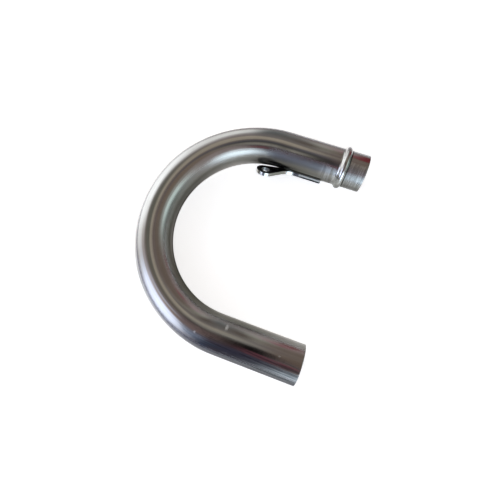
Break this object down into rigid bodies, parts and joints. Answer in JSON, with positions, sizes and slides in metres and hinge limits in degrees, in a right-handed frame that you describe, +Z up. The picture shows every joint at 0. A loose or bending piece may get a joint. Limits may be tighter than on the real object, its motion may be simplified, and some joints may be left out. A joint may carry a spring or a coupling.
{
  "type": "exhaust pipe bend",
  "caption": "U-shaped steel engine pipe with a rolled hose bead near one end, a plain other end, and a small plate bracket with a bolt hole welded inside one leg.",
  "frame": {"origin": "on the surface that the pipe lies on, under the middle of its box", "axes": "+X along both legs towards their ends, +Y towards the beaded leg, +Z up, square to the plane of the bend"},
  "size_m": [0.2026, 0.2408, 0.0438],
  "materials": {
    "tube_steel": "satin drawn stainless tube with faint draw lines and handling marks",
    "bracket_steel": "steel plate with black scale on its faces and bright sheared edges",
    "weld_metal": "rippled weld bead, heat tinted"
  },
  "bodies": {
    "root": {"bend_tube": "tube_steel", "mounting_bracket": "bracket_steel", "weld_seam_edge": "weld_metal", "weld_seam_end": "weld_metal"}
  },
  "joints": []
}
